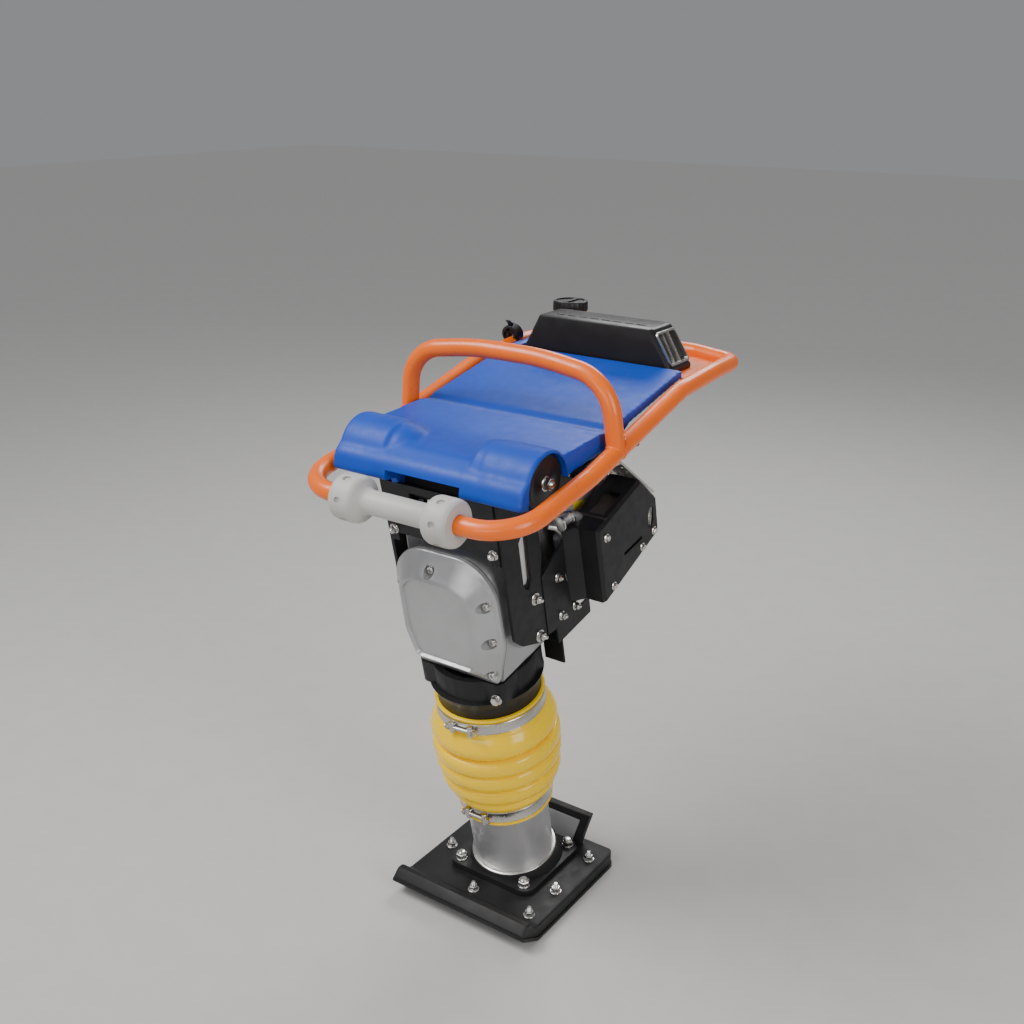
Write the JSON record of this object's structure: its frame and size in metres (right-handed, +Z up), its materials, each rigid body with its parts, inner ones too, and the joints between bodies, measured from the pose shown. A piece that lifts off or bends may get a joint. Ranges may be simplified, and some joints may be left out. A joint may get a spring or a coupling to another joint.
{
  "type": "tamping rammer",
  "caption": "Upright petrol jumping jack rammer: flat black shoe, leaning leg with ribbed bellows, geared crankcase and engine, fuel tank and padded loop handle with a guide roller.",
  "frame": {"origin": "on the ground, under the middle of the foot flange", "axes": "+Z up, +X to the machine's right, -Y to its front, the side of the guide roller; the leg leans 11.5 degrees forward about X"},
  "size_m": [0.447, 0.7745, 1.033],
  "materials": {
    "yellow_rubber": "smooth moulded rubber",
    "black_rubber": "moulded rubber",
    "blue_plastic": "satin moulded polyethylene",
    "black_plastic": "satin moulded plastic",
    "grey_plastic": "matt moulded plastic",
    "orange_paint": "gloss powder coat",
    "black_paint": "satin powder coat",
    "silver_paint": "metallic paint",
    "cast_alloy": "painted casting",
    "bare_alloy": "as cast",
    "zinc_steel": "bright zinc plate",
    "spring_steel": "oiled",
    "gear_steel": "ground",
    "iron": "painted",
    "nylon": "turned nylon",
    "black_alloy": "black painted casting",
    "gasket": "fibre sheet",
    "laminate": "black painted laminate"
  },
  "bodies": {
    "foot": {"sole_plate": "black_paint", "shoe_block": "laminate", "heel_plate": "black_paint", "shoe_bolts": "zinc_steel", "foot_flange": "black_paint", "flange_bolts": "zinc_steel", "spring_cylinder": "silver_paint", "cylinder_cap": "gear_steel", "lower_clamp": "zinc_steel", "lower_spring": "spring_steel", "upper_spring": "spring_steel", "bellows": "yellow_rubber"},
    "upper_unit": {"guide_cylinder": "black_alloy", "guide_bush": "nylon", "upper_clamp": "zinc_steel", "crankcase": "cast_alloy", "crankcase_gasket": "gasket", "crankcase_cover": "cast_alloy", "cover_screws": "zinc_steel", "right_arm": "black_paint", "left_arm": "black_paint", "cross_plate": "black_paint", "bearings": "gear_steel", "clutch_housing": "bare_alloy", "engine_block": "bare_alloy", "engine_cylinder": "bare_alloy", "fan_shroud": "black_paint", "recoil_cover": "black_plastic", "side_shroud": "silver_paint", "carburettor": "bare_alloy", "muffler": "iron", "muffler_guard": "black_paint", "spark_screen": "zinc_steel", "engine_side_plates": "black_paint", "frame_bolts": "zinc_steel", "base_bracket": "black_paint", "rubber_isolators": "black_rubber"},
    "crank": {"crank_gear": "gear_steel"},
    "conrod": {"con_rod": "gear_steel"},
    "pinion": {"pinion_shaft": "gear_steel", "clutch_drum": "gear_steel"},
    "piston": {"piston_rod": "gear_steel", "spring_piston": "gear_steel"},
    "rotor": {"engine_rotor": "bare_alloy"},
    "grip": {"starter_grip": "black_plastic"},
    "stop_key": {"stop_switch": "black_plastic"},
    "choke": {"choke_lever": "black_plastic"},
    "handle": {"isolator_bolts": "zinc_steel", "handle_brackets": "black_paint", "front_handle_tube": "orange_paint", "rear_handle_tube": "orange_paint", "hoop": "orange_paint", "rear_shelf": "orange_paint", "tank_rails": "orange_paint", "fuel_tank": "blue_plastic", "air_cleaner": "black_plastic", "throttle_clamp": "black_plastic"},
    "roller_spool": {"roller": "grey_plastic"},
    "tank_cap": {"fuel_cap": "black_plastic"},
    "throttle": {"throttle_lever": "black_plastic"}
  },
  "joints": [
    {"name": "leg_slide", "type": "slide", "parent": "foot", "child": "upper_unit", "axis": [0, -0.1994, 0.9799], "range_m": [-0.012, 0.04], "stiffness_N_per_m": 60000, "springref_m": 0.0098, "deforming": ["bellows"]},
    {"name": "crank_spin", "type": "hinge", "parent": "upper_unit", "child": "crank", "pos_m": [0, -0.11464, 0.60846], "axis": [0, 0.9799, 0.1994], "continuous": true},
    {"name": "conrod_swing", "type": "hinge", "parent": "crank", "child": "conrod", "pos_m": [0, -0.11105, 0.59082], "axis": [0, 0.9799, 0.1994], "continuous": true},
    {"name": "pinion_spin", "type": "hinge", "parent": "upper_unit", "child": "pinion", "pos_m": [0, -0.13158, 0.69175], "axis": [0, 0.9799, 0.1994], "continuous": true},
    {"name": "piston_slide", "type": "slide", "parent": "upper_unit", "child": "piston", "axis": [0, -0.1994, 0.9799], "range_m": [0, 0.036], "deforming": ["lower_spring", "upper_spring"]},
    {"name": "rotor_spin", "type": "hinge", "parent": "upper_unit", "child": "rotor", "pos_m": [0, -0.13158, 0.69175], "axis": [0, 0.9799, 0.1994], "continuous": true},
    {"name": "starter_pull", "type": "slide", "parent": "upper_unit", "child": "grip", "axis": [0, 0.9799, 0.1994], "range_m": [0, 0.45], "stiffness_N_per_m": 30, "springref_m": -0.3},
    {"name": "stop_press", "type": "slide", "parent": "upper_unit", "child": "stop_key", "axis": [0, -0.9799, -0.1994], "range_m": [0, 0.003], "stiffness_N_per_m": 600, "springref_m": -0.002},
    {"name": "choke_swing", "type": "hinge", "parent": "upper_unit", "child": "choke", "pos_m": [-0.098, 0.00775, 0.72418], "axis": [0, 0.9799, 0.1994], "range_deg": [-60, 0]},
    {"name": "handle_rock", "type": "hinge", "parent": "upper_unit", "child": "handle", "pos_m": [0, -0.17101, 0.87048], "axis": [1, 0, 0], "range_deg": [-2.5, 2.5], "stiffness_Nm_per_rad": 2500, "springref_deg": 0.85},
    {"name": "roller_spin", "type": "hinge", "parent": "handle", "child": "roller_spool", "pos_m": [0, -0.304, 0.833], "axis": [1, 0, 0], "continuous": true},
    {"name": "cap_turn", "type": "hinge", "parent": "handle", "child": "tank_cap", "pos_m": [-0.121, 0.356, 1.022], "axis": [0, 0, 1], "range_deg": [0, 90]},
    {"name": "throttle_swing", "type": "hinge", "parent": "handle", "child": "throttle", "pos_m": [-0.208, 0.288, 0.973], "axis": [1, 0, 0], "range_deg": [0, 55]}
  ],
  "couplings": [
    {"joint": "conrod_swing", "follows": "crank_spin", "ratio": -1},
    {"joint": "pinion_spin", "follows": "crank_spin", "ratio": -5.5385}
  ]
}
